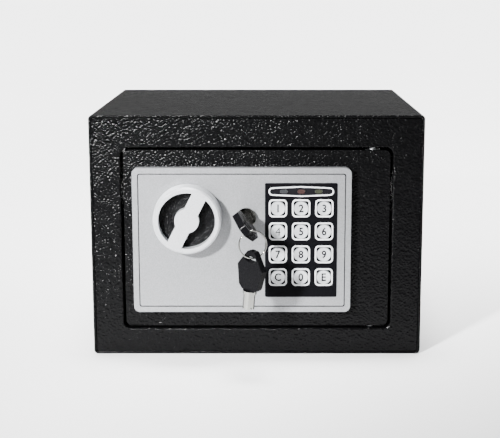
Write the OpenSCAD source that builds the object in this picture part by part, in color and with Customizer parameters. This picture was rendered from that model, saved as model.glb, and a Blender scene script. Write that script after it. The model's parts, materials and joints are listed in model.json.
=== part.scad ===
// Small electronic hotel safe with a turn knob, a keypad and an override key.
// Frame: origin at the centre of the underside, X right, Y into the safe, Z up.

/* [Cabinet] */
// Outer width of the cabinet
body_w = 230; // [225:1:300]
// Outer height of the cabinet
body_h = 170; // [168:1:240]
// Outer depth of the cabinet
body_d = 170; // [140:1:300]
// Thickness of the cabinet's steel sheet
wall_t = 2; // [1.5:0.1:3]
// Outer radius of the cabinet's four long bends
bend_r = 3; // [3:0.5:5]
// Visible joint between the wrap and the front frame
seam = 0.4; // [0.2:0.1:0.8]
// Front border beside the door opening
border_side = 21.5; // [18:0.5:30]
// Front border above the door opening
border_top = 22.5; // [18:0.5:30]
// Front border below the door opening
border_bottom = 19; // [16:0.5:30]
// Depth of the flange turned in around the opening
flange_d = 13; // [12:0.5:13.5]
// Thickness of the front frame's sheet
frame_t = 1.5; // [1:0.1:2]
// Corner radius of the door opening
opening_r = 5; // [3:0.5:8]
// Rounding of the opening's front edge
edge_r = 1.4; // [0.4:0.1:1.4]
// Radius of the fixing holes in the floor and the back
anchor_r = 5; // [3:0.5:6]
// Distance between the two fixing holes of each wall
anchor_pitch = 130; // [60:1:150]

/* [Door] */
// Gap between the door and the opening
door_gap = 1.75; // [1:0.25:2.5]
// Thickness of the door plate
door_t = 3; // [3:0.5:5]
// How far the door plate sits behind the front frame's face
door_recess = 0.8; // [0.5:0.1:2]
// Corner radius of the door plate
door_r = 4; // [2:0.5:6]
// Distance from the door's right edge to the hinge axis
pivot_inset = 12; // [11:0.25:12.5]
// Radius of the hinge pins
pin_r = 2.5; // [2:0.1:2.5]
// Depth of the cover over the mechanism on the door's back
cover_d = 35; // [35:1:45]
// Radius of the locking bolts
bolt_r = 6; // [4:0.5:6]
// Distance between the two locking bolts
bolt_pitch = 54; // [50:1:60]
// Travel of the locking bolts
bolt_travel = 14; // [13:0.5:14]

/* [Bezel and controls] */
// How far the bezel stands out of the door plate
bezel_t = 6.5; // [6.5:0.5:9]
// Corner radius of the bezel
bezel_r = 4; // [3:0.5:8]
// Width of the bezel's raised rim
rim_w = 3.7; // [2.5:0.1:6]
// Width of the groove between the rim and the face plate
groove_w = 0.7; // [0.3:0.1:1.5]
// Outer radius of the knob
knob_r = 23; // [23:0.5:24]
// Height of the knob
knob_h = 11; // [10.5:0.5:14]
// Tilt of the knob's grip bar from upright, clockwise
bar_tilt = 27; // [0:1:60]
// Width of the keypad's dark overlay
pad_w = 49.6; // [48:0.1:54]
// Height of the keypad's dark overlay
pad_h = 80.5; // [80:0.5:90]
// Distance between keypad columns
key_dx = 15.85; // [14:0.05:16]
// Distance between keypad rows
key_dz = 16.2; // [14:0.1:16.5]
// Width of one square key surround
surround_w = 12.5; // [12.2:0.1:13.5]
// Radius of one round key cap
cap_r = 4.8; // [4.5:0.1:4.8]
// Travel of a key cap
cap_travel = 0.7; // [0.4:0.1:0.9]

/* [Keys] */
// Length of a key's plastic bow
bow_len = 27.5; // [24:0.5:36]
// Full width of a key's bow at its widest
bow_w = 22; // [20:0.5:26]
// Thickness of a key's bow
bow_t = 4.6; // [4:0.1:5]
// Outer radius of the tubular key shank
shank_r = 4; // [3.6:0.1:4]
// Length of the key shank outside the bow
shank_len = 12.5; // [10:0.5:20]
// Mean radius of the key ring
ring_r = 9.2; // [9:0.1:14]
// Radius of the key ring's wire
ring_wire_r = 0.55; // [0.4:0.05:0.7]

/* [Hidden] */
$fn = 48;
eps = 0.01;       // overshoot of a cutting solid
fit = 0.3;        // gap between pieces that move past each other
run_fit = 0.08;   // radial gap of a pin or shaft in its bore
weld = 0.1;       // gap between sheets of one welded body

// Cabinet
front_y = -body_d / 2;
back_y = body_d / 2;
open_w = body_w - 2 * border_side;
open_h = body_h - border_top - border_bottom;
open_cz = border_bottom + open_h / 2;
lip_d = 10;       // depth of the flange along the panels' outer edges
lip_r = min(edge_r, frame_t - 0.1);
mat_t = 1.5;
mat_margin = 5;   // floor left bare around the mat

// Door
door_w = open_w - 2 * door_gap;
door_h = open_h - 2 * door_gap;
door_x0 = -door_w / 2;
door_x1 = door_w / 2;
door_z0 = border_bottom + door_gap;
door_z1 = door_z0 + door_h;
door_y = front_y + door_recess;
door_back = door_y + door_t;
pivot_x = door_x1 - pivot_inset;
pivot_y = door_back + pin_r;
pin_block_l = 22; // length of the block that holds each hinge pin

// Bezel on the door's face
bezel_x0 = door_x0 + 6.5;
bezel_x1 = door_x1 - 27;
bezel_z0 = door_z0 + 12;
bezel_z1 = door_z1 - 11.5;
bezel_w = bezel_x1 - bezel_x0;
bezel_h = bezel_z1 - bezel_z0;
bezel_cx = (bezel_x0 + bezel_x1) / 2;
bezel_cz = (bezel_z0 + bezel_z1) / 2;
bezel_wall = 2;
groove_d = 1.2;                              // depth of the recess for the face plate
plate_t = 1;
overlay_t = 0.4;
surround_t = 0.6;
skin_t = 1.5;                                // bezel thickness under the face plate
recess_p = bezel_t - groove_d;               // heights p are measured out from the door's face
skin_p = recess_p - skin_t;
face_p = recess_p + plate_t;
overlay_p = face_p + overlay_t;
surround_p = overlay_p + surround_t;
plate_inset = rim_w + groove_w;
boss_inset = 10;                             // bosses from the bezel's edges
boss_inset_r = 5;                            // and from its right edge, clear of the board
boss_r = 3.5;
bezel_screw_r = 1.2;

// Knob and bolt work
knob_x = bezel_x0 + 38;
knob_z = bezel_z1 - 34.2;
knob_y0 = door_y - face_p - 0.8;             // underside of the knob
knob_y1 = knob_y0 - knob_h;                  // face of the knob
knob_shaft_r = 4;
knob_top_t = 6.5;                            // thickness of the knob's face, over its hollow
knob_wall = 2.2;
bar_w = 10.2;
hub_r = 8.3;
core_r = hub_r - 0.5;                        // post around the shaft, inside the hollow
pocket_r = 19.3;
cam_r = 14;                                  // radius of the cam pin's path
cam_turn = 2 * asin(bolt_travel / 2 / cam_r);
cam_t = 3;
cam_y = door_back + 1.5;
cam_pin_r = 2.5;
bolt_y = front_y + flange_d + bolt_r + 1;
bolt_z0 = open_cz - bolt_pitch / 2;
bolt_z1 = open_cz + bolt_pitch / 2;
bolt_tip_x = door_x0 + 3.75;
bolt_len = 36;
carriage_t = 2;
carriage_x0 = bolt_tip_x + bolt_len;
carriage_x1 = knob_x + 15.3;
carriage_y = bolt_y - bolt_r - 2.5;
carriage_z0 = bolt_z0 - 8.25;
carriage_z1 = max(bolt_z1 + 8.25, knob_z + cam_r + 6);
cam_pin_x = knob_x + cam_r * sin(cam_turn / 2);

// Override lock
lock_x = bezel_x0 + 77.9;
lock_z = knob_z;
lock_y0 = door_y - face_p - 2.5;             // face of the lock
lock_head_r = 7;
lock_head_t = 2.5;
barrel_r = 6;
barrel_y1 = door_back + 17.2;
keyway_r = shank_r + 0.15;
keyway_d = 6.5;
plug_r = 4.5;
tail_w = 5;
lock_cam_y = door_back + 21.2;
lock_cam_t = 2;

// Solenoid that blocks the carriage
sol_x = carriage_x1 + 12;
sol_y = door_back + 17.2;
sol_top = lock_z - 40;
sol_h = 28;
plunger_r = 3.2;
plunger_top = sol_top + 12;
plunger_travel = 5;
flange_r = 5;
flange_z = sol_top + 7.2;
spring_turns = 5;
spring_wire_r = 0.35;
tooth_gap = 1.5;                             // from the drawn-in plunger to the tooth
tooth_x0 = sol_x + 4;
tooth_w = bolt_travel - 8;

// Cover over the bolt work
cover_x0 = door_x0 + 11.75;
cover_x1 = pivot_x - 13.75;
cover_z0 = door_z0 + 6;
cover_z1 = door_z1 - 6;
cover_t = 1;
cover_y = door_back + cover_d;               // outer face of the cover
pillar_inset = 7;
pillar_r = 3;
cover_screw_r = 1.5;
box_x1 = cover_x1 - 3;
box_w = 62;
box_x0 = box_x1 - box_w;
box_z0 = cover_z0 + 11.5;
box_h = 58;
box_d = 19;
box_wall = 1.5;
cell_r = 7.2;
cell_l = 50;
cell_dx = (box_w - 2 * box_wall) / 4;
hatch_t = 1.5;
hatch_y = cover_y + fit;
reset_x = box_x1 - 23;
reset_z = cover_z1 - 21;
reset_r = 2.8;

// Keypad
pad_x1 = bezel_x1 - 9.5;
pad_x0 = pad_x1 - pad_w;
pad_z1 = bezel_z1 - 10.2;
pad_z0 = pad_z1 - pad_h;
pad_cx = (pad_x0 + pad_x1) / 2;
row_1_z = pad_z1 - 17.5;
led_z = pad_z1 - 5.8;
led_dx = 11.9;
led_slot_r = 1.4;
led_slot_l = 5;
cap_p = surround_p + 0.4;                    // height of a key cap's rim
cap_flange_r = 5.6;
cap_flange_p = skin_p - 0.3;
cap_flange_t = 0.7;
board_p = 0.3;
board_t = 1;
switch_t = 0.4;
cable_x = pad_x1 - 8;                        // hole in the door for the wires
cable_z = pad_z1 - 14;
cable_r = 4;

// Keys on their ring
key_insert = 3.5;                            // length of shank inside the lock
bow_y0 = lock_y0 - shank_len + key_insert;   // bow's end at the shank
bow_y1 = bow_y0 - bow_len;                   // bow's end at the ring
bow_turn = 52;                               // slope of the bow in the lock, down to the right
slot_in = 5.5;                               // from a bow's end to its slot's middle
slot_half_l = 5;
slot_half_w = 2;
wire_s = slot_half_l - ring_wire_r - 1.75;   // place of the ring along the first key's slot
ring_yaw = 12;
ring_lean = 22;                              // place of that slot around the ring, from its top
slot_y = bow_y1 + slot_in;
hook = [lock_x + wire_s * cos(bow_turn), slot_y, lock_z - wire_s * sin(bow_turn)];
ring_c = hook + ring_r * [sin(ring_lean) * cos(ring_yaw), sin(ring_lean) * sin(ring_yaw), -cos(ring_lean)];
spare_yaw = -43;
spare_tilt = 7;
spare_drop = slot_half_w - ring_wire_r - 1.1;

// ---------- shared shapes ----------

// Rounded rectangle around the origin
module rrect(w, h, r) {
    square([w - 2 * r, h], center = true);
    square([w, h - 2 * r], center = true);
    for (sx = [-1, 1]) for (sz = [-1, 1]) translate([sx * (w / 2 - r), sz * (h / 2 - r)]) circle(r);
}

// Upright plate: its outline is drawn in X and Z, its thickness runs from y to y + t
module upright(y, t) {
    translate([0, y + t, 0]) rotate([90, 0, 0]) linear_extrude(t) children();
}

// Rod along Y from y0 to y1
module rod_y(x, z, r, y0, y1) {
    translate([x, y0, z]) rotate([-90, 0, 0]) cylinder(r = r, h = y1 - y0);
}

// Box from one corner to the opposite one
module span(a, b) {
    translate(a) cube(b - a);
}

// Plate on the door's face, from height p0 to p1 in front of it
module on_door(p0, p1) {
    upright(door_y - p1, p1 - p0) children();
}

// Straight slot with round ends along X
module stadium(l, r) {
    square([l - 2 * r, 2 * r], center = true);
    for (s = [-1, 1]) translate([s * (l / 2 - r), 0]) circle(r);
}

// Lozenge of the indicator window, shrunk by d
module lozenge(d) {
    end_x = 19.5;
    end_r = 2.85 - d;
    mid_h = 3.75 - d;
    polygon([[-end_x, -end_r], [0, -mid_h], [end_x, -end_r], [end_x, end_r], [0, mid_h], [-end_x, end_r]]);
    for (s = [-1, 1]) translate([s * end_x, 0]) circle(end_r);
}

// Places of the twelve keys, row by row
function key_place(i) = [pad_cx + (i % 3 - 1) * key_dx, row_1_z - floor(i / 3) * key_dz];

// Holes through the bezel's skin and the plates on it
module control_holes() {
    for (i = [0:11]) translate(key_place(i)) circle(cap_r + 0.25);
    translate([knob_x, knob_z]) circle(knob_shaft_r + fit);
    translate([lock_x, lock_z]) circle(barrel_r + weld);
    translate([pad_cx, led_z]) for (i = [-1:1]) translate([i * led_dx, 0])
        stadium(led_slot_l + 2 * weld, led_slot_r + weld);
}

module boss_places() {
    for (x = [bezel_x0 + boss_inset, bezel_x1 - boss_inset_r])
        for (z = [bezel_z0 + boss_inset, bezel_z1 - boss_inset]) translate([x, 0, z]) children();
}

module pillar_places() {
    for (x = [cover_x0 + pillar_inset, cover_x1 - pillar_inset])
        for (z = [cover_z0 + pillar_inset, cover_z1 - pillar_inset]) translate([x, 0, z]) children();
}

module anchor_places() {
    for (s = [-1, 1]) translate([s * anchor_pitch / 2, 0, 0]) children();
}

// Round tube swept along points
function unit(v) = v / norm(v);
function side_of(t) = abs(t[2]) > 0.9 ? unit(cross(t, [0, 1, 0])) : unit(cross(t, [0, 0, 1]));
module sweep_tube(pts, r, sides) {
    n = len(pts);
    dirs = [for (i = [0:n - 1]) unit(pts[min(i + 1, n - 1)] - pts[max(i - 1, 0)])];
    rings = [for (i = [0:n - 1]) let (u = side_of(dirs[i]), v = cross(dirs[i], u))
        for (k = [0:sides - 1]) pts[i] + r * (cos(k * 360 / sides) * u + sin(k * 360 / sides) * v)];
    walls = [for (i = [0:n - 2]) for (k = [0:sides - 1])
        [i * sides + k, i * sides + (k + 1) % sides, (i + 1) * sides + (k + 1) % sides, (i + 1) * sides + k]];
    caps = [[for (k = [sides - 1:-1:0]) k], [for (k = [0:sides - 1]) (n - 1) * sides + k]];
    polyhedron(rings, concat(walls, caps), convexity = 10);
}

// Smooth route through hand-placed points
function bend(a, b, c, d, t) = 0.5 * (2 * b + (c - a) * t + (2 * a - 5 * b + 4 * c - d) * t * t
    + (3 * b - a - 3 * c + d) * t * t * t);
function smooth(p, steps) = let (n = len(p)) concat(
    [for (i = [0:n - 2]) for (k = [0:steps - 1])
        bend(p[max(i - 1, 0)], p[i], p[i + 1], p[min(i + 2, n - 1)], k / steps)], [p[n - 1]]);

// ---------- cabinet ----------

module cabinet_wrap() color("#26272a") difference() {
    upright(front_y, body_d) translate([0, body_h / 2]) difference() {
        rrect(body_w, body_h, bend_r);
        rrect(body_w - 2 * wall_t, body_h - 2 * wall_t, bend_r - wall_t);
    }
    anchor_places() translate([0, 0, -eps]) cylinder(r = anchor_r, h = wall_t + 2 * eps);
}

// Outline of a panel let into the wrap
module panel_outline(inset) {
    shrink = wall_t + inset;
    translate([0, body_h / 2]) rrect(body_w - 2 * shrink, body_h - 2 * shrink, 1);
}

// What is cut away to round the doorway's front edge: its section, then its four sides and corners
module edge_profile() difference() {
    translate([-eps, -lip_r]) square(lip_r + eps);
    translate([lip_r, -lip_r]) circle(lip_r);
}

module doorway_rounding() translate([0, front_y, open_cz]) rotate([90, 0, 0]) for (k = [0:3]) {
    across = (k % 2 == 0 ? open_w : open_h) / 2;
    along = (k % 2 == 0 ? open_h : open_w) / 2 - opening_r;
    rotate(k * 90) {
        translate([across, along, 0]) rotate([90, 0, 0]) linear_extrude(2 * along) edge_profile();
        translate([across - opening_r, along, 0]) rotate_extrude(angle = 90)
            translate([opening_r, 0]) edge_profile();
    }
}

module front_frame() color("#26272a") difference() {
    union() {
        upright(front_y, frame_t) panel_outline(seam);
        upright(front_y, lip_d) difference() {
            panel_outline(seam);
            panel_outline(seam + frame_t);
        }
        upright(front_y, flange_d) translate([0, open_cz])
            rrect(open_w + 2 * frame_t, open_h + 2 * frame_t, opening_r + frame_t);
    }
    upright(front_y - eps, flange_d + 2 * eps) translate([0, open_cz]) rrect(open_w, open_h, opening_r);
    translate([pivot_x, pivot_y, border_bottom - frame_t - eps])
        cylinder(r = pin_r + run_fit, h = open_h + 2 * frame_t + 2 * eps);
    doorway_rounding();
}

module back_panel() color("#26272a") difference() {
    union() {
        upright(back_y - frame_t, frame_t) panel_outline(seam);
        upright(back_y - lip_d, lip_d) difference() {
            panel_outline(seam);
            panel_outline(seam + frame_t);
        }
    }
    anchor_places() rod_y(0, body_h / 2, anchor_r, back_y - frame_t - eps, back_y + eps);
}

module floor_mat() color("#6f7073") difference() {
    span([-body_w / 2 + wall_t + mat_margin, front_y + lip_d + mat_margin, wall_t],
        [body_w / 2 - wall_t - mat_margin, back_y - lip_d - mat_margin, wall_t + mat_t]);
    anchor_places() translate([0, 0, wall_t - eps]) cylinder(r = anchor_r + 1, h = mat_t + 2 * eps);
}

// ---------- door ----------

module door_plate() color("#232427") difference() {
    upright(door_y, door_t) difference() {
        translate([0, open_cz]) rrect(door_w, door_h, door_r);
        translate([knob_x, knob_z]) circle(knob_shaft_r + fit);
        translate([lock_x, lock_z]) circle(barrel_r + weld);
        translate([cable_x, cable_z]) circle(cable_r);
    }
    boss_places() rod_y(0, 0, bezel_screw_r + 0.3, door_y - eps, door_back + eps);
}

// One hinge pin in its welded block, with the block's foot at z = 0
module hinge_pin() {
    reach = door_gap + frame_t + 1;
    translate([pivot_x, pivot_y, -reach]) cylinder(r = pin_r, h = reach + pin_block_l);
    span([pivot_x - 5, door_back, 0], [pivot_x + 5, pivot_y + 1.5, pin_block_l]);
}

module hinge_pins() color("#8b8d90") {
    translate([0, 0, door_z0]) hinge_pin();
    translate([0, 0, door_z1]) mirror([0, 0, 1]) hinge_pin();
}

module bezel() color("#c9ccd0") difference() {
    union() {
        difference() {
            on_door(0, bezel_t) translate([bezel_cx, bezel_cz]) rrect(bezel_w, bezel_h, bezel_r);
            on_door(-eps, skin_p) translate([bezel_cx, bezel_cz])
                rrect(bezel_w - 2 * bezel_wall, bezel_h - 2 * bezel_wall, bezel_r - bezel_wall);
            on_door(recess_p, bezel_t + eps) translate([bezel_cx, bezel_cz])
                rrect(bezel_w - 2 * rim_w, bezel_h - 2 * rim_w, 1.5);
        }
        boss_places() rod_y(0, 0, boss_r, door_y - skin_p - eps, door_y);
    }
    on_door(skin_p - eps, recess_p + eps) control_holes();
    boss_places() rod_y(0, 0, bezel_screw_r + 0.05, door_y - skin_p, door_y + eps);
}

module bezel_screws() color("#9a9ca0") boss_places() {
    rod_y(0, 0, bezel_screw_r, door_y - skin_p + 0.5, door_back + eps);
    difference() {
        rod_y(0, 0, 2.8, door_back, door_back + 1.8);
        span([-2, door_back + 1, -0.3], [2, door_back + 1.8 + eps, 0.3]);
        span([-0.3, door_back + 1, -2], [0.3, door_back + 1.8 + eps, 2]);
    }
}

module face_plate() color("#b9bcc0") on_door(recess_p, face_p) difference() {
    translate([bezel_cx, bezel_cz]) rrect(bezel_w - 2 * plate_inset, bezel_h - 2 * plate_inset, 1.2);
    control_holes();
}

module keypad_overlay() color("#3a3c41") on_door(face_p, overlay_p) difference() {
    translate([pad_cx, (pad_z0 + pad_z1) / 2]) rrect(pad_w, pad_h, 1);
    for (i = [0:11]) translate(key_place(i)) circle(cap_r + 0.25);
    translate([pad_cx, led_z]) lozenge(0.5);
}

module key_surrounds() color("#e8eaec") on_door(overlay_p, surround_p)
    for (i = [0:11]) translate(key_place(i)) difference() {
        rrect(surround_w, surround_w, 2.8);
        rrect(2 * cap_r + 0.6, 2 * cap_r + 0.6, 1.7);
    }

// One round key cap with a dished face and a retaining flange
module key_cap(i) {
    dish_r = 20;
    dish_d = 0.5;
    place = key_place(i);
    translate([place[0], door_y, place[1]]) color("#dfe1e4") difference() {
        union() {
            rod_y(0, 0, cap_flange_r, -cap_flange_p, -cap_flange_p + cap_flange_t);
            rod_y(0, 0, cap_r, -cap_p, -cap_flange_p + cap_flange_t);
        }
        translate([0, -cap_p + dish_d - dish_r, 0]) sphere(r = dish_r, $fn = 96);
    }
}

module led_window() color("#17181c") on_door(face_p, overlay_p) difference() {
    translate([pad_cx, led_z]) lozenge(0.6);
    translate([pad_cx, led_z]) for (i = [-1:1]) translate([i * led_dx, 0])
        stadium(led_slot_l + 2 * weld, led_slot_r + weld);
}

module led_trim() color("#eef0f2") on_door(overlay_p, overlay_p + 0.3) translate([pad_cx, led_z]) difference() {
    lozenge(0);
    lozenge(0.9);
}

// One indicator lens, standing on the circuit board
module led(i, tint) color(tint) on_door(board_p + board_t, overlay_p + 0.3)
    translate([pad_cx + i * led_dx, led_z]) stadium(led_slot_l, led_slot_r);

module circuit_board() color("#2f6b3c") on_door(board_p, board_p + board_t)
    translate([pad_cx, (pad_z0 + pad_z1) / 2]) rrect(pad_w + 1, pad_h + 1, 1);

module key_switches() color("#c8a24a") for (i = [0:11]) translate([key_place(i)[0], 0, key_place(i)[1]])
    rod_y(0, 0, 3, door_y - board_p - board_t - switch_t, door_y - board_p - board_t);

// ---------- knob and bolt work ----------

// Half-moon pockets on the two sides of the knob's grip bar
module knob_pockets() {
    rotate(-bar_tilt) for (s = [-1, 1]) difference() {
        intersection() {
            circle(pocket_r, $fn = 96);
            translate([s * (pocket_r + bar_w / 2), 0]) square(2 * pocket_r, center = true);
        }
        circle(hub_r, $fn = 64);
    }
}

module knob() color("#d4d6d9") difference() {
    translate([knob_x, knob_y0, knob_z]) rotate([90, 0, 0]) rotate_extrude($fn = 96) difference() {
        polygon([[0, 0], [knob_r + 0.6, 0], [knob_r + 0.6, 1.2], [knob_r, knob_h - 1.2],
            [knob_r - 1.2, knob_h], [0, knob_h]]);
        translate([core_r, -eps]) square([knob_r - knob_wall - core_r, knob_h - knob_top_t + eps]);
        translate([-eps, -eps]) square([knob_shaft_r + 0.05 + eps, knob_h - 4]);
    }
    translate([knob_x, 0, knob_z]) upright(knob_y1 - eps, knob_h) knob_pockets();
}

module knob_insert() color("#1b1c1e") translate([knob_x, knob_y1 + knob_top_t, knob_z]) rotate([-90, 0, 0])
    rotate_extrude($fn = 96) translate([core_r + weld, 0]) square([knob_r - knob_wall - core_r - 2 * weld, 2]);

module knob_shaft() color("#8f9195") rod_y(knob_x, knob_z, knob_shaft_r, knob_y1 + 4.5, cam_y + cam_t);

module knob_cam() color("#a5a7aa") difference() {
    union() {
        upright(cam_y, cam_t) translate([knob_x, knob_z]) {
            circle(9);
            rotate(-cam_turn / 2) translate([-5, 0]) square([10, cam_r]);
            rotate(-cam_turn / 2) translate([0, cam_r]) circle(5);
        }
        rod_y(cam_pin_x, knob_z + cam_r * cos(cam_turn / 2), cam_pin_r, cam_y, carriage_y + carriage_t + 2);
    }
    rod_y(knob_x, knob_z, knob_shaft_r + 0.02, cam_y - eps, cam_y + cam_t + eps);
}

module bolt_carriage() color("#9c9ea2") difference() {
    union() {
        span([carriage_x0, carriage_y, carriage_z0], [carriage_x1, carriage_y + carriage_t, carriage_z1]);
        span([carriage_x0, carriage_y, carriage_z0], [carriage_x0 + 2, bolt_y + bolt_r + 2, carriage_z1]);
        span([carriage_x1 - 1, carriage_y, plunger_top + tooth_gap + 4.5],
            [tooth_x0 + tooth_w, carriage_y + carriage_t, plunger_top + tooth_gap + 14]);
        span([tooth_x0, carriage_y, plunger_top + tooth_gap],
            [tooth_x0 + tooth_w, sol_y + 3, plunger_top + tooth_gap + 6.5]);
    }
    upright(carriage_y - eps, carriage_t + 2 * eps) translate([cam_pin_x, knob_z + cam_r - 1]) rotate(90)
        stadium(2 * cam_pin_r + 5, cam_pin_r + 0.5);
    for (z = [bolt_z0, bolt_z1]) translate([carriage_x0 - eps, bolt_y, z]) rotate([0, 90, 0])
        cylinder(r = 2.1, h = 2 + 2 * eps);
}

module locking_bolts() color("#c3c6ca") for (z = [bolt_z0, bolt_z1]) translate([bolt_tip_x, bolt_y, z])
    rotate([0, 90, 0]) difference() {
        union() {
            cylinder(r1 = bolt_r - 1, r2 = bolt_r, h = 1);
            translate([0, 0, 1]) cylinder(r = bolt_r, h = bolt_len - 1);
        }
        translate([0, 0, bolt_len - 10]) cylinder(r = 2.05, h = 10 + eps);
    }

module carriage_screws() color("#8b8d90") for (z = [bolt_z0, bolt_z1])
    translate([carriage_x0 - 8, bolt_y, z]) rotate([0, 90, 0]) difference() {
        union() {
            cylinder(r = 2, h = 10);
            translate([0, 0, 10]) cylinder(r = 3.6, h = 2.2);
        }
        translate([0, 0, 11]) cylinder(r = 1.7, h = 2, $fn = 6);
    }

// ---------- solenoid ----------

module solenoid_frame() color("#b2b4b7") difference() {
    union() {
        for (z = [sol_top - sol_h, sol_top - 1.5])
            span([sol_x - 8.5, door_back, z], [sol_x + 8.5, sol_y + 8, z + 1.5]);
        span([sol_x - 8.5, sol_y - 9.6, sol_top - sol_h], [sol_x + 8.5, sol_y - 8.1, sol_top]);
    }
    translate([sol_x, sol_y, sol_top - 1.5 - eps]) cylinder(r = plunger_r + fit, h = 1.5 + 2 * eps);
}

module solenoid_coil() color("#b98a2e") translate([sol_x, sol_y, sol_top - sol_h + 1.5]) difference() {
    union() {
        cylinder(r = 8, h = 1.2);
        cylinder(r = 7.3, h = sol_h - 3);
        translate([0, 0, sol_h - 4.2]) cylinder(r = 8, h = 1.2);
    }
    translate([0, 0, 2]) cylinder(r = plunger_r + fit, h = sol_h);
}

module solenoid_plunger() color("#cfd1d4") translate([sol_x, sol_y, 0]) {
    translate([0, 0, sol_top - sol_h + 9]) cylinder(r = plunger_r, h = plunger_top - (sol_top - sol_h + 9));
    translate([0, 0, flange_z]) cylinder(r = flange_r, h = 1);
}

module plunger_spring() color("#d8dadc") {
    steps = spring_turns * 12;
    rise = flange_z - sol_top - 2 * spring_wire_r - 0.1;
    sweep_tube([for (i = [0:steps]) [sol_x + (plunger_r + 0.8) * cos(i * 30), sol_y + (plunger_r + 0.8) * sin(i * 30),
        sol_top + spring_wire_r + 0.05 + rise * i / steps]], spring_wire_r, 6);
}

// ---------- override lock ----------

module lock_body() color("#c9cbce") difference() {
    union() {
        rod_y(lock_x, lock_z, lock_head_r, lock_y0, lock_y0 + lock_head_t);
        rod_y(lock_x, lock_z, barrel_r, lock_y0, barrel_y1);
    }
    rod_y(lock_x, lock_z, keyway_r, lock_y0 - eps, lock_y0 + keyway_d + eps);
    rod_y(lock_x, lock_z, plug_r + run_fit, lock_y0 + keyway_d, barrel_y1 + eps);
    rod_y(lock_x - keyway_r * 0.7, lock_z + keyway_r * 0.7, 1, lock_y0 - eps, lock_y0 + 2);
}

module lock_nut() color("#b0b2b5") difference() {
    translate([lock_x, door_back, lock_z]) rotate([-90, 0, 0]) cylinder(r = 9, h = 3, $fn = 6);
    rod_y(lock_x, lock_z, barrel_r + 0.05, door_back - eps, door_back + 3 + eps);
}

module lock_plug() color("#a9abae") difference() {
    union() {
        rod_y(lock_x, lock_z, 2.4, lock_y0 + 0.6, lock_y0 + keyway_d + 1);
        rod_y(lock_x, lock_z, plug_r, lock_y0 + keyway_d + 0.3, barrel_y1 + 0.3);
        span([lock_x - tail_w / 2, barrel_y1, lock_z - tail_w / 2],
            [lock_x + tail_w / 2, lock_cam_y + lock_cam_t, lock_z + tail_w / 2]);
    }
    rod_y(lock_x, lock_z, 1.5, lock_cam_y + lock_cam_t - 6, lock_cam_y + lock_cam_t + eps);
}

module lock_cam() color("#9c9ea2") upright(lock_cam_y, lock_cam_t) translate([lock_x, lock_z]) difference() {
    tip = [sol_x + 3 - lock_x, flange_z + 5.8 - lock_z];
    union() {
        circle(7);
        translate(tip) circle(3.5);
        rotate(atan2(tip[1], tip[0])) translate([0, -3.5]) square([norm(tip), 7]);
    }
    square(tail_w + 0.1, center = true);
}

module lock_cam_screw() color("#c2c4c7") difference() {
    union() {
        rod_y(lock_x, lock_z, 1.45, lock_cam_y + lock_cam_t - 5, lock_cam_y + lock_cam_t + 1);
        rod_y(lock_x, lock_z, 4.5, lock_cam_y + lock_cam_t, lock_cam_y + lock_cam_t + 1.6);
    }
    span([lock_x - 3, lock_cam_y + lock_cam_t + 0.8, lock_z - 0.4],
        [lock_x + 3, lock_cam_y + lock_cam_t + 2, lock_z + 0.4]);
}

// ---------- cover and battery compartment ----------

module inner_cover() color("#1e1f21") difference() {
    union() {
        difference() {
            span([cover_x0, door_back, cover_z0], [cover_x1, cover_y, cover_z1]);
            span([cover_x0 + cover_t, door_back - eps, cover_z0 + cover_t],
                [cover_x1 - cover_t, cover_y - cover_t, cover_z1 - cover_t]);
        }
        for (s = [0, 1]) {
            x = s == 0 ? box_x0 - 3 : box_x1 + 1 + fit;
            lip_x = s == 0 ? x : box_x1 - 0.5;
            span([x, cover_y - eps, box_z0 - 1], [x + 1.7, hatch_y + hatch_t + fit + 1, box_z0 + box_h + 1]);
            span([lip_x, hatch_y + hatch_t + fit, box_z0 - 1],
                [s == 0 ? box_x0 + 0.5 : x + 1.7, hatch_y + hatch_t + fit + 1, box_z0 + box_h + 1]);
        }
    }
    span([box_x0 + 1, cover_y - cover_t - eps, box_z0 + 1], [box_x1 - 1, cover_y + eps, box_z0 + box_h - 1]);
    for (z = [bolt_z0, bolt_z1]) translate([cover_x0 - eps, bolt_y, z]) rotate([0, 90, 0])
        cylinder(r = bolt_r + 0.3, h = cover_t + 2 * eps);
    pillar_places() rod_y(0, 0, cover_screw_r + 0.2, cover_y - cover_t - eps, cover_y + eps);
    rod_y(reset_x, reset_z, reset_r + fit, cover_y - cover_t - eps, cover_y + eps);
}

module cover_pillars() color("#a7a9ac") pillar_places() difference() {
    rod_y(0, 0, pillar_r, door_back, cover_y - cover_t);
    rod_y(0, 0, cover_screw_r + 0.03, cover_y - cover_t - 9, cover_y - cover_t + eps);
}

module cover_screws() color("#9a9ca0") pillar_places() difference() {
    union() {
        rod_y(0, 0, cover_screw_r, cover_y - cover_t - 8, cover_y + 1);
        rod_y(0, 0, 2.8, cover_y, cover_y + 1.6);
    }
    span([-1.9, cover_y + 0.8, -0.3], [1.9, cover_y + 1.6 + eps, 0.3]);
    span([-0.3, cover_y + 0.8, -1.9], [0.3, cover_y + 1.6 + eps, 1.9]);
}

module battery_box() color("#202124") difference() {
    span([box_x0, cover_y - cover_t - box_d, box_z0], [box_x1, cover_y - cover_t, box_z0 + box_h]);
    span([box_x0 + box_wall, cover_y - cover_t - box_d + box_wall, box_z0 + box_wall],
        [box_x1 - box_wall, cover_y, box_z0 + box_h - box_wall]);
}

module batteries() for (i = [0:3]) {
    x = box_x0 + box_wall + (i + 0.5) * cell_dx;
    y = cover_y - cover_t - box_d + box_wall + cell_r + weld;
    z = box_z0 + box_h / 2;
    flip = i % 2 == 0 ? 1 : -1;
    color("#3d6fb0") translate([x, y, z]) {
        translate([0, 0, -cell_l / 2]) cylinder(r = cell_r, h = cell_l);
        translate([0, 0, flip > 0 ? cell_l / 2 - eps : -cell_l / 2 - 1]) cylinder(r = 2.6, h = 1 + eps);
    }
}

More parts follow.
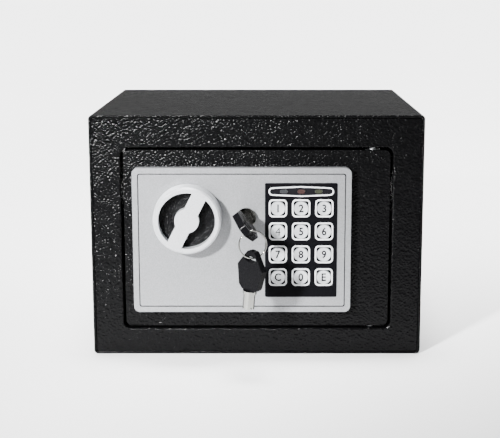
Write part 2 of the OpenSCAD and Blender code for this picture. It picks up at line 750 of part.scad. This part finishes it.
module battery_door() color("#26272a") union() {
    span([box_x0 - 1, hatch_y, box_z0 - 1], [box_x1 + 1, hatch_y + hatch_t, box_z0 + box_h + 1]);
    for (i = [0:4]) span([box_x0 + box_w / 2 - 9, hatch_y + hatch_t - eps, box_z0 + box_h - 8 - i * 2.4],
        [box_x0 + box_w / 2 + 9, hatch_y + hatch_t + 0.8, box_z0 + box_h - 7 - i * 2.4]);
}

module reset_button() color("#b3262a") union() {
    rod_y(reset_x, reset_z, reset_r, cover_y - cover_t - 1.5, cover_y + 1.6);
    rod_y(reset_x, reset_z, reset_r + 1.2, cover_y - cover_t - 1.5, cover_y - cover_t - 0.5);
}

// ---------- keys ----------

// Outline of a bow: narrow at the ring, widest near the middle; v runs from the ring end to the shank
module bow_outline() {
    widest = 0.43 * bow_len;
    end_w = 7.5;
    root_w = bow_w - 5;
    r = 1.6;
    hull() {
        for (s = [-1, 1]) {
            translate([s * (end_w / 2 - r), r]) circle(r, $fn = 32);
            translate([s * (bow_w / 2 - r), widest]) circle(r, $fn = 32);
            translate([s * (root_w / 2 - r), bow_len - 3.5]) circle(r, $fn = 32);
            translate([s * (shank_r + 0.8), bow_len - 1]) circle(1, $fn = 32);
        }
    }
}

// A bow in its own frame: ring end at the origin, length along +Y, slab in X and Y
module bow() color("#1c1d1f") difference() {
    translate([0, 0, -bow_t / 2]) linear_extrude(bow_t) bow_outline();
    translate([-slot_half_l + slot_half_w, slot_in - slot_half_w, -bow_t])
        cube([2 * (slot_half_l - slot_half_w), 2 * slot_half_w, 2 * bow_t]);
    for (s = [-1, 1]) translate([s * (slot_half_l - slot_half_w), slot_in, -bow_t])
        cylinder(r = slot_half_w, h = 2 * bow_t);
    translate([-bow_w * 0.2, 9, bow_t / 2 - 0.3]) cube([bow_w * 0.4, 4.5, 1]);
    translate([0, bow_len - 6, 0]) rotate([-90, 0, 0]) cylinder(r = 2.05, h = 7);
}

// A tubular shank in the same frame, with its collar at the bow
module shank() color("#c4c6c9") difference() {
    union() {
        translate([0, bow_len, 0]) rotate([-90, 0, 0]) cylinder(r = shank_r, h = shank_len);
        translate([0, bow_len, 0]) rotate([-90, 0, 0]) cylinder(r = shank_r + 0.7, h = 2);
        translate([0, bow_len - 6, 0]) rotate([-90, 0, 0]) cylinder(r = 2, h = 6 + eps);
    }
    translate([0, bow_len + shank_len - 8, 0]) rotate([-90, 0, 0]) cylinder(r = 2.7, h = 8 + eps);
    for (a = [20, 100, 190, 290]) translate([0, bow_len + shank_len - 1.4, 0]) rotate([0, a, 0])
        translate([2.9, 0, -0.5]) cube([2, 2, 1]);
}

// Places the key that is in the lock
module in_lock() translate([lock_x, bow_y1, lock_z]) rotate([0, bow_turn, 0]) children();

// Places the spare key, hung on the ring
module on_ring() translate(ring_c + [0, 0, -ring_r - spare_drop]) rotate([0, 0, spare_yaw])
    rotate([0, spare_tilt, 0]) rotate([-90, 0, 0]) translate([0, -slot_in, 0]) children();

module key_shank() in_lock() shank();

module key_bow() in_lock() bow();

module spare_key_shank() on_ring() shank();

module spare_key_bow() on_ring() bow();

module key_ring() color("#c6c8cb") translate(ring_c) rotate([0, 0, ring_yaw]) rotate([90, 0, 0])
    rotate_extrude($fn = 96) translate([ring_r, 0]) circle(ring_wire_r, $fn = 24);

// ---------- wires ----------

lead_r = 1;
battery_route = [
    [box_x1 - 12, cover_y - cover_t - box_d - 1, box_z0 + box_h - 14],
    [box_x1 - 12, cover_y - cover_t - box_d - 5, box_z0 + box_h - 8],
    [cable_x + 1.5, door_back + 8, box_z0 + box_h + 4],
    [cable_x + 1.5, door_back + 5, cable_z - 3],
    [cable_x + 1.5, door_back - 1, cable_z],
    [cable_x + 1.5, door_y - board_p + fit, cable_z]];
solenoid_route = [
    [sol_x + 9, sol_y - 3, sol_top - sol_h + 8],
    [sol_x + 13, sol_y - 7, sol_top - sol_h + 10],
    [lock_x + 2, door_back + 5, sol_top - 6],
    [lock_x + 18, door_back + 4, sol_top + 22],
    [cable_x - 8, door_back + 4, cable_z - 8],
    [cable_x - 1.5, door_back + 3, cable_z - 1],
    [cable_x - 1.5, door_back - 1, cable_z],
    [cable_x - 1.5, door_y - board_p + fit, cable_z]];

module battery_lead() color("#c23030") sweep_tube(smooth(battery_route, 5), lead_r, 8);

module solenoid_lead() color("#2e4a9a") sweep_tube(smooth(solenoid_route, 5), lead_r, 8);

cabinet_wrap();
front_frame();
back_panel();
floor_mat();
door_plate();
hinge_pins();
bezel();
bezel_screws();
face_plate();
keypad_overlay();
key_surrounds();
key_cap(0);  // key_1
key_cap(1);  // key_2
key_cap(2);  // key_3
key_cap(3);  // key_4
key_cap(4);  // key_5
key_cap(5);  // key_6
key_cap(6);  // key_7
key_cap(7);  // key_8
key_cap(8);  // key_9
key_cap(9);  // key_c
key_cap(10);  // key_0
key_cap(11);  // key_e
led_window();
led_trim();
led(-1, "#8d9094");  // led_left
led(0, "#7a4038");  // led_middle
led(1, "#8fa05a");  // led_right
circuit_board();
key_switches();
knob();
knob_insert();
knob_shaft();
knob_cam();
bolt_carriage();
locking_bolts();
carriage_screws();
solenoid_frame();
solenoid_coil();
solenoid_plunger();
plunger_spring();
lock_body();
lock_nut();
lock_plug();
lock_cam();
lock_cam_screw();
inner_cover();
cover_pillars();
cover_screws();
battery_box();
batteries();
battery_door();
reset_button();
key_shank();
key_bow();
spare_key_shank();
spare_key_bow();
key_ring();
battery_lead();
solenoid_lead();
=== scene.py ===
"""Looks of the small electronic safe: camera, light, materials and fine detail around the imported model."""
import json
import math

import bmesh
import bpy
from mathutils import Euler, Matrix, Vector


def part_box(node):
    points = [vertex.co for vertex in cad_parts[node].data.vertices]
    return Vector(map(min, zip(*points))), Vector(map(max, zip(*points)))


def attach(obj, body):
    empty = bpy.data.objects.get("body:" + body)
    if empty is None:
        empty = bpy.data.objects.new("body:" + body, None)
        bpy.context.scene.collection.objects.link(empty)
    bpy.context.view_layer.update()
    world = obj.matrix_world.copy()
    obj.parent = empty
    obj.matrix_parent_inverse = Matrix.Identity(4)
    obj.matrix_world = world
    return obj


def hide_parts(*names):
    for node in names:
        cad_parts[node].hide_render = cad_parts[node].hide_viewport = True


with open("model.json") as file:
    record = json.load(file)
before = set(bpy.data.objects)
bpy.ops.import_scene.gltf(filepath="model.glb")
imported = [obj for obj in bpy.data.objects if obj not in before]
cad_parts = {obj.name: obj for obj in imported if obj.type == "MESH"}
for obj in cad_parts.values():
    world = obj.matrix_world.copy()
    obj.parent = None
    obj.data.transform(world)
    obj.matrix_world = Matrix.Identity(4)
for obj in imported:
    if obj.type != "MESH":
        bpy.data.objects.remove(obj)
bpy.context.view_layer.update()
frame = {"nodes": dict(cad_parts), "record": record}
nodes = frame["nodes"]
MM = 0.001
BUTTONS = "123456789c0e"


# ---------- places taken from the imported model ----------

def low(node):
    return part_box(node)[0]


def middle(node):
    a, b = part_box(node)
    return (a + b) / 2


front_y = low("cabinet_wrap").y


# ---------- camera ----------

CAMERA_OUT = 680.7 * MM       # distance in front of the cabinet's face
CAMERA_SIDE = 6.2 * MM
CAMERA_UP = 257.6 * MM
PITCH = math.radians(9.0)
SENSOR = 36.0
LENS = 72.6
SHIFT = (-0.0315, -0.149)   # share of the picture's width


def make_camera():
    data = bpy.data.cameras.new("camera")
    data.sensor_width = SENSOR
    data.lens = LENS
    data.dof.use_dof = False
    cam = bpy.data.objects.new("camera", data)
    cam.location = (CAMERA_SIDE, front_y - CAMERA_OUT, CAMERA_UP)
    cam.rotation_euler = Euler((math.radians(90) - PITCH, 0, 0))
    data.shift_x, data.shift_y = SHIFT
    bpy.context.scene.collection.objects.link(cam)
    bpy.context.scene.camera = cam


make_camera()


# ---------- node helpers ----------

class Shader:
    """A principled material and the few nodes that shape it."""

    def __init__(self, name, color, rough=0.5, metal=0.0, **inputs):
        self.mat = bpy.data.materials.new(name)
        self.mat.use_nodes = True
        self.tree = self.mat.node_tree
        self.bsdf = self.tree.nodes["Principled BSDF"]
        self.bsdf.inputs["Base Color"].default_value = (*color, 1)
        self.bsdf.inputs["Roughness"].default_value = rough
        self.bsdf.inputs["Metallic"].default_value = metal
        for key, value in inputs.items():
            self.bsdf.inputs[key.replace("_", " ")].default_value = value
        self.coord = self.add("ShaderNodeTexCoord").outputs["Object"]

    def add(self, kind, **settings):
        node = self.tree.nodes.new(kind)
        for key, value in settings.items():
            setattr(node, key, value)
        return node

    def link(self, out, to):
        self.tree.links.new(out, to)

    def scaled(self, size):
        """Object coordinates divided by a feature size in metres, one number or one for each axis."""
        sizes = size if isinstance(size, (tuple, list)) else (size,) * 3
        node = self.add("ShaderNodeMapping")
        node.inputs["Scale"].default_value = [1 / s for s in sizes]
        self.link(self.coord, node.inputs["Vector"])
        return node.outputs["Vector"]

    def noise(self, size, detail=2.0, rough=0.5, distortion=0.0):
        node = self.add("ShaderNodeTexNoise")
        node.inputs["Scale"].default_value = 1.0
        node.inputs["Detail"].default_value = detail
        node.inputs["Roughness"].default_value = rough
        node.inputs["Distortion"].default_value = distortion
        self.link(self.scaled(size), node.inputs["Vector"])
        return node.outputs["Fac"]

    def ramp(self, value, stops):
        node = self.add("ShaderNodeValToRGB")
        band = node.color_ramp
        while len(band.elements) < len(stops):
            band.elements.new(0.5)
        for element, (place, color) in zip(band.elements, stops):
            element.position = place
            element.color = (*color, 1) if isinstance(color, tuple) else (color, color, color, 1)
        self.link(value, node.inputs["Fac"])
        return node.outputs["Color"]

    def math(self, op, a, b=0.0):
        node = self.add("ShaderNodeMath", operation=op)
        for socket, value in zip(node.inputs, (a, b)):
            if isinstance(value, (int, float)):
                socket.default_value = value
            else:
                self.link(value, socket)
        return node.outputs[0]

    def color(self, out):
        self.link(out, self.bsdf.inputs["Base Color"])

    def rough(self, out):
        self.link(out, self.bsdf.inputs["Roughness"])

    def bump(self, height, depth, strength=1.0):
        node = self.add("ShaderNodeBump")
        node.inputs["Strength"].default_value = strength
        node.inputs["Distance"].default_value = depth
        self.link(height, node.inputs["Height"])
        self.link(node.outputs["Normal"], self.bsdf.inputs["Normal"])


def grain(shader, size, depth, smoothness=0.5):
    """Pebbled leather grain of a powder coat: stretched rounded cells, warped by noise."""
    warp = shader.add("ShaderNodeTexNoise")
    warp.inputs["Scale"].default_value = 1.0
    warp.inputs["Detail"].default_value = 1.0
    shader.link(shader.scaled(size * 1.8), warp.inputs["Vector"])
    mix = shader.add("ShaderNodeVectorMath", operation="MULTIPLY_ADD")
    shader.link(warp.outputs["Color"], mix.inputs[0])
    mix.inputs[1].default_value = (0.6, 0.6, 0.6)
    shader.link(shader.scaled((size * 1.1, size * 1.1, size * 1.15)), mix.inputs[2])
    cells = shader.add("ShaderNodeTexVoronoi", feature="SMOOTH_F1")
    cells.inputs["Scale"].default_value = 1.0
    cells.inputs["Smoothness"].default_value = smoothness
    shader.link(mix.outputs[0], cells.inputs["Vector"])
    fine = shader.noise(size * 0.3, detail=2.0)
    height = shader.math("ADD", shader.math("MULTIPLY", cells.outputs["Distance"], -1.0),
                         shader.math("MULTIPLY", fine, 0.12))
    shader.bump(height, depth)
    return cells.outputs["Distance"]


# ---------- materials ----------

def powder_coat():
    s = Shader("powder_coat", (0.0012, 0.0012, 0.0014), 0.2, Specular_IOR_Level=0.07)
    cells = grain(s, 1.4 * MM, 0.56 * MM)
    # painted shade: the grain's valleys, far from the cell centres, are coloured darker than the tops of its
    # cells
    s.color(s.ramp(cells, [(0.1, (0.0018, 0.0018, 0.002)), (0.8, (0.0009, 0.0009, 0.001))]))
    s.rough(s.ramp(s.noise(9 * MM), [(0.3, 0.17), (0.7, 0.23)]))
    return s.mat


def silver_paint(name, value):
    s = Shader(name, (value, value * 1.02, value * 1.06), 0.38, 0.55)
    fleck = s.noise(0.7 * MM, detail=3.0, rough=0.7)
    low_tone, high_tone = value * 0.8, value * 1.18
    s.color(s.ramp(fleck, [(0.32, (low_tone, low_tone * 1.02, low_tone * 1.06)),
                           (0.68, (high_tone, high_tone * 1.02, high_tone * 1.06))]))
    s.rough(s.ramp(s.noise(6 * MM), [(0.3, 0.33), (0.7, 0.40)]))
    s.bump(fleck, 0.03 * MM, 0.6)
    return s.mat


def plastic(name, color, rough=0.4, size=1.2 * MM, depth=0.01 * MM, spread=0.15, shine=0.5):
    s = Shader(name, color, rough, Specular_IOR_Level=shine)
    wave = s.noise(size, detail=3.0)
    dark = tuple(c * (1 - spread) for c in color)
    light = tuple(c * (1 + spread) for c in color)
    s.color(s.ramp(wave, [(0.3, dark), (0.7, light)]))
    s.rough(s.ramp(s.noise(size * 4), [(0.3, rough * 0.85), (0.7, min(1.0, rough * 1.15))]))
    s.bump(wave, depth)
    return s.mat


def metal(name, color, rough=0.3, size=(3 * MM, 3 * MM, 0.2 * MM), depth=0.004 * MM):
    s = Shader(name, color, rough, 1.0)
    streak = s.noise(size, detail=2.0)
    dark = tuple(c * 0.88 for c in color)
    light = tuple(min(1, c * 1.08) for c in color)
    s.color(s.ramp(streak, [(0.3, dark), (0.7, light)]))
    s.rough(s.ramp(s.noise(2 * MM), [(0.3, rough * 0.8), (0.7, rough * 1.25)]))
    s.bump(streak, depth)
    return s.mat


def felt():
    s = Shader("felt", (0.12, 0.12, 0.125), 0.95)
    fibre = s.noise((0.5 * MM, 0.9 * MM, 0.5 * MM), detail=4.0, rough=0.7, distortion=1.5)
    s.color(s.ramp(fibre, [(0.3, (0.07, 0.07, 0.073)), (0.7, (0.17, 0.17, 0.175))]))
    s.bump(fibre, 0.25 * MM)
    return s.mat


MATERIALS = {
    "powder_coat": powder_coat(),
    "felt": felt(),
    "silver_paint": silver_paint("silver_paint", 0.24),
    "knob_silver": silver_paint("knob_silver", 0.52),
    "black_insert": plastic("black_insert", (0.0012, 0.0012, 0.0014), 0.2, 1.3 * MM, 0.8 * MM, shine=0.07),
    "keypad_grey": plastic("keypad_grey", (0.0022, 0.0022, 0.0028), 0.45, 0.5 * MM, 0.02 * MM, 0.3, 0.02),
    "key_frame": plastic("key_frame", (0.55, 0.555, 0.57), 0.35, shine=0.3),
    "key_cap": silver_paint("key_cap", 0.55),
    "smoked_lens": plastic("smoked_lens", (0.004, 0.004, 0.005), 0.2, shine=0.12),
    "lens_clear": plastic("lens_clear", (0.022, 0.023, 0.025), 0.2, shine=0.1),
    "lens_red": plastic("lens_red", (0.028, 0.016, 0.015), 0.2, shine=0.1),
    "lens_green": plastic("lens_green", (0.022, 0.024, 0.017), 0.2, shine=0.1),
    "board": plastic("board", (0.02, 0.12, 0.04), 0.3),
    "switch_metal": metal("switch_metal", (0.75, 0.58, 0.3), 0.25),
    "zinc": metal("zinc", (0.5, 0.51, 0.52), 0.35),
    "bolt_steel": metal("bolt_steel", (0.68, 0.69, 0.7), 0.22),
    "screw_steel": metal("screw_steel", (0.5, 0.51, 0.53), 0.3),
    "coil_tape": plastic("coil_tape", (0.5, 0.26, 0.05), 0.3),
    "chrome": metal("chrome", (0.30, 0.30, 0.285), 0.08),
    "plug_brass": metal("plug_brass", (0.72, 0.56, 0.3), 0.25),
    "bow_black": plastic("bow_black", (0.0022, 0.0022, 0.0026), 0.25, 0.6 * MM, 0.03 * MM, 0.3, 0.04),
    "box_black": plastic("box_black", (0.018, 0.018, 0.02), 0.45, 0.8 * MM, 0.03 * MM, 0.3),
    "cell_wrap": plastic("cell_wrap", (0.02, 0.08, 0.3), 0.25),
    "reset_red": plastic("reset_red", (0.45, 0.02, 0.02), 0.3),
    "lead_red": plastic("lead_red", (0.45, 0.02, 0.02), 0.45),
    "lead_blue": plastic("lead_blue", (0.03, 0.07, 0.35), 0.45),
}

for part in frame["record"]["subparts"]:
    mesh = nodes[part["node"]].data
    mesh.materials.clear()
    mesh.materials.append(MATERIALS[part["material_slot"]])


# ---------- edges ----------

def soften(node, width, segments=3, angle=30):
    """Joins the doubled vertices of a CAD mesh and rounds its sharp edges."""
    obj = nodes[node]
    weld = obj.modifiers.new("weld", "WELD")
    weld.merge_threshold = 0.002 * MM
    bevel = obj.modifiers.new("bevel", "BEVEL")
    bevel.width = width
    bevel.segments = segments
    bevel.limit_method = "ANGLE"
    bevel.angle_limit = math.radians(angle)
    normals = obj.modifiers.new("normals", "WEIGHTED_NORMAL")
    normals.weight = 100
    for face in obj.data.polygons:
        face.use_smooth = True


SOFT_EDGES = {
    "cabinet_wrap": 0.7, "front_frame": 0.5, "back_panel": 0.5, "door_plate": 0.9, "bezel": 0.25,
    "face_plate": 0.12, "knob": 0.5, "lock_body": 0.25, "key_bow": 0.5, "spare_key_bow": 0.5,
    "key_surrounds": 0.22, "inner_cover": 0.3, "battery_door": 0.3, "locking_bolts": 0.3,
}
for name, width in SOFT_EDGES.items():
    soften(name, width * MM)
for key in BUTTONS:
    soften("key_" + key, 0.3 * MM)


# ---------- mesh helpers ----------

def add_piece(name, bm, finish, body, smooth=False):
    """A new piece from a bmesh, with its finish, riding on a body."""
    mesh = bpy.data.meshes.new(name)
    bmesh.ops.recalc_face_normals(bm, faces=bm.faces)
    bm.to_mesh(mesh)
    bm.free()
    for face in mesh.polygons:
        face.use_smooth = smooth
    obj = bpy.data.objects.new(name, mesh)
    bpy.context.scene.collection.objects.link(obj)
    mesh.materials.append(MATERIALS[finish])
    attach(obj, body)
    return obj


def rounded_outline(x0, z0, x1, z1, r, steps=6):
    """Points along a flat rounded rectangle, anticlockwise."""
    corners = [(x1 - r, z1 - r, 0), (x0 + r, z1 - r, 90), (x0 + r, z0 + r, 180), (x1 - r, z0 + r, 270)]
    return [(cx + r * math.cos(math.radians(turn + 90 * i / steps)),
             cz + r * math.sin(math.radians(turn + 90 * i / steps)))
            for cx, cz, turn in corners for i in range(steps + 1)]


def slice_mesh(bm, axis, start, stop, step):
    """Cuts every face along planes across one axis, so that a flat mesh can be bent."""
    normal = Vector((0, 0, 0))
    normal[axis] = 1
    for i in range(1, int((stop - start) / step) + 1):
        geometry = bm.verts[:] + bm.edges[:] + bm.faces[:]
        bmesh.ops.bisect_plane(bm, geom=geometry, dist=1e-7, plane_co=normal * (start + i * step),
                               plane_no=normal)


# ---------- painted shade: a black strip in the groove round the face plate ---

RIM_W = 3.7 * MM            # bezel's rim outside the groove
GROOVE_W = 0.7 * MM
GROOVE_D = 1.2 * MM
SHADE_STRIP_T = 1.0 * MM
SHADE_STRIP_GAP = 0.03 * MM        # gap from the painted shade strip to the rim and to the face plate
RIM_INNER_R = 1.5 * MM
PLATE_R = 1.2 * MM


def make_groove_shade_strip():
    """A black strip that fills the groove between the bezel's rim and the face plate: painted shade,
    standing in for the shadow in the groove.
    """
    lo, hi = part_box("bezel")
    bm = bmesh.new()
    rings = []
    for y in (lo.y + GROOVE_D, lo.y + GROOVE_D - SHADE_STRIP_T):
        for inset, r in ((RIM_W + SHADE_STRIP_GAP, RIM_INNER_R), (RIM_W + GROOVE_W - SHADE_STRIP_GAP, PLATE_R)):
            outline = rounded_outline(lo.x + inset, lo.z + inset, hi.x - inset, hi.z - inset, r)
            rings.append([bm.verts.new((x, y, z)) for x, z in outline])
    back_out, back_in, front_out, front_in = rings
    count = len(back_out)
    for i in range(count):
        j = (i + 1) % count
        for a, b in ((front_out, front_in), (back_out, back_in), (front_out, back_out),
                     (front_in, back_in)):
            bm.faces.new((a[i], a[j], b[j], b[i]))
    # painted shade: this black strip darkens the groove where only shade falls
    add_piece("groove_painted_shade", bm, "black_insert", "door")


make_groove_shade_strip()


# ---------- characters on the key caps ----------

DIGIT_H = 5.5 * MM
DIGIT_NARROW = 0.92         # width against the typeface's own
BOLD = 0.022                # outline's growth, as a share of the letter size
DISH_R = 20 * MM            # sphere that hollows a cap
DISH_D = 0.5 * MM
INK_PROUD = 0.02 * MM
INK_T = 0.05 * MM
INK_STEP = 0.8 * MM


def letter_mesh(letter, bold):
    """A flat bmesh of one letter of the built-in typeface, standing in the XZ plane, centred."""
    curve = bpy.data.curves.new("ink", "FONT")
    curve.body = letter
    curve.size = 1.0
    curve.offset = bold
    curve.resolution_u = 6
    text = bpy.data.objects.new("ink", curve)
    bpy.context.scene.collection.objects.link(text)
    bpy.context.view_layer.update()
    flat = bpy.data.meshes.new_from_object(text.evaluated_get(bpy.context.evaluated_depsgraph_get()))
    bpy.data.objects.remove(text)
    bm = bmesh.new()
    bm.from_mesh(flat)
    bpy.data.meshes.remove(flat)
    bmesh.ops.remove_doubles(bm, verts=bm.verts, dist=1e-4)
    xs = [v.co.x for v in bm.verts]
    ys = [v.co.y for v in bm.verts]
    tall = DIGIT_H / (max(ys) - min(ys))
    mid_x, mid_y = (max(xs) + min(xs)) / 2, (max(ys) + min(ys)) / 2
    for v in bm.verts:
        v.co = Vector(((v.co.x - mid_x) * tall * DIGIT_NARROW, 0, (v.co.y - mid_y) * tall))
    return bm


def make_digit(key):
    """The character of one key, printed on its dished cap. A bold 4 would close its own counter."""
    bm = letter_mesh(key.upper(), 0.0 if key == "4" else BOLD)
    slice_mesh(bm, 0, -3 * INK_STEP, 3 * INK_STEP, INK_STEP)
    slice_mesh(bm, 2, -4 * INK_STEP, 4 * INK_STEP, INK_STEP)
    solid = bmesh.ops.extrude_face_region(bm, geom=bm.faces[:])
    raised = {v for v in solid["geom"] if isinstance(v, bmesh.types.BMVert)}
    middle_cap = middle("key_" + key)
    face_y = low("key_" + key).y
    for v in bm.verts:
        rho = math.hypot(v.co.x, v.co.z)
        dish = DISH_D - (DISH_R - math.sqrt(DISH_R ** 2 - rho ** 2))
        lift = INK_PROUD if v in raised else INK_PROUD - INK_T
        v.co = Vector((middle_cap.x + v.co.x, face_y + dish - lift, middle_cap.z + v.co.z))
    add_piece("digit_" + key, bm, "keypad_grey", "button_" + key)


for key in BUTTONS:
    make_digit(key)


# ---------- felt on the cabinet floor ----------

FELT_T = 1.4 * MM
FELT_WAVE = 0.12 * MM       # unevenness of the laid sheet
FELT_INSET = 0.5 * MM
FELT_LIFT = 0.05 * MM
FELT_CORNER_R = 3 * MM
FELT_STEP = 6 * MM
FELT_HOLE_R = 6 * MM
ANCHOR_PITCH = 130 * MM


def ripple(x, y):
    """A slow wave over the felt, from about -2 to 2."""
    return math.sin(x / (17 * MM)) * math.cos(y / (13 * MM)) + math.sin((x + y) / (29 * MM))


def make_felt():
    """A felt sheet laid on the floor of the cabinet, cut round its two anchor holes."""
    lo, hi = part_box("floor_mat")
    bm = bmesh.new()
    inset = FELT_INSET
    loops = [rounded_outline(lo.x + inset, lo.y + inset, hi.x - inset, hi.y - inset, FELT_CORNER_R)]
    for side in (-1, 1):
        loops.append([(side * ANCHOR_PITCH / 2 + FELT_HOLE_R * math.cos(math.radians(15 * i)),
                       FELT_HOLE_R * math.sin(math.radians(15 * i))) for i in range(24)])
    edges = []
    for loop in loops:
        ring = [bm.verts.new((x, y, lo.z + FELT_LIFT)) for x, y in loop]
        edges += [bm.edges.new((ring[i], ring[(i + 1) % len(ring)])) for i in range(len(ring))]
    bmesh.ops.triangle_fill(bm, use_beauty=True, edges=edges)
    slice_mesh(bm, 0, lo.x, hi.x, FELT_STEP)
    slice_mesh(bm, 1, lo.y, hi.y, FELT_STEP)
    solid = bmesh.ops.extrude_face_region(bm, geom=bm.faces[:])
    for v in solid["geom"]:
        if isinstance(v, bmesh.types.BMVert):
            v.co.z += FELT_T - FELT_WAVE * (1 - 0.5 * ripple(v.co.x, v.co.y))
    obj = add_piece("felt_mat", bm, "felt", "cabinet", smooth=True)
    bevel = obj.modifiers.new("bevel", "BEVEL")
    bevel.width = 0.35 * MM
    bevel.segments = 2
    bevel.limit_method = "ANGLE"
    bevel.angle_limit = math.radians(50)
    bevel.harden_normals = True
    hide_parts("floor_mat")


make_felt()


# ---------- floor and light ----------

FLOOR_HALF = 30.0
CEILING = 1.7               # height of the two wide lights above the floor
NARROW = 30                 # their spread, in degrees
WIDE = 12.0
WORLD_STRENGTH = 0.3


def make_floor():
    mesh = bpy.data.meshes.new("floor")
    corners = [(sx * FLOOR_HALF, sy * FLOOR_HALF, 0) for sx, sy in ((-1, -1), (1, -1), (1, 1), (-1, 1))]
    mesh.from_pydata(corners, [], [(0, 1, 2, 3)])
    obj = bpy.data.objects.new("floor", mesh)
    bpy.context.scene.collection.objects.link(obj)
    s = Shader("floor_paint", (0.93, 0.93, 0.93), 0.6)
    s.color(s.ramp(s.noise(0.2), [(0.3, (0.925, 0.925, 0.925)), (0.7, (0.94, 0.94, 0.94))]))
    mesh.materials.append(s.mat)


def make_area(name, place, size, power, aim, spread):
    """A rectangular light at a place, aimed at a point, with its beam's full angle in degrees."""
    data = bpy.data.lights.new(name, "AREA")
    data.shape = "RECTANGLE"
    data.size, data.size_y = size
    data.energy = power
    data.spread = math.radians(spread)
    obj = bpy.data.objects.new(name, data)
    obj.location = place
    obj.rotation_euler = (Vector(aim) - Vector(place)).to_track_quat("-Z", "Y").to_euler()
    bpy.context.scene.collection.objects.link(obj)


def make_world():
    world = bpy.data.worlds.new("studio")
    world.use_nodes = True
    background = world.node_tree.nodes["Background"]
    background.inputs["Color"].default_value = (1, 1, 1, 1)
    background.inputs["Strength"].default_value = WORLD_STRENGTH
    bpy.context.scene.world = world


make_floor()
make_world()
make_area("key_light", (-0.47, -0.78, 0.45), (0.08, 0.08), 3.4, (-0.04, -0.08, 0.1), 44)
make_area("top_light", (0.0, 11.95, CEILING), (WIDE, 24.0), 4800, (0, 11.95, 0), NARROW)
make_area("front_fill", (0.0, -6.4, CEILING), (WIDE, 12.0), 420, (0, -6.4, 0), NARROW)
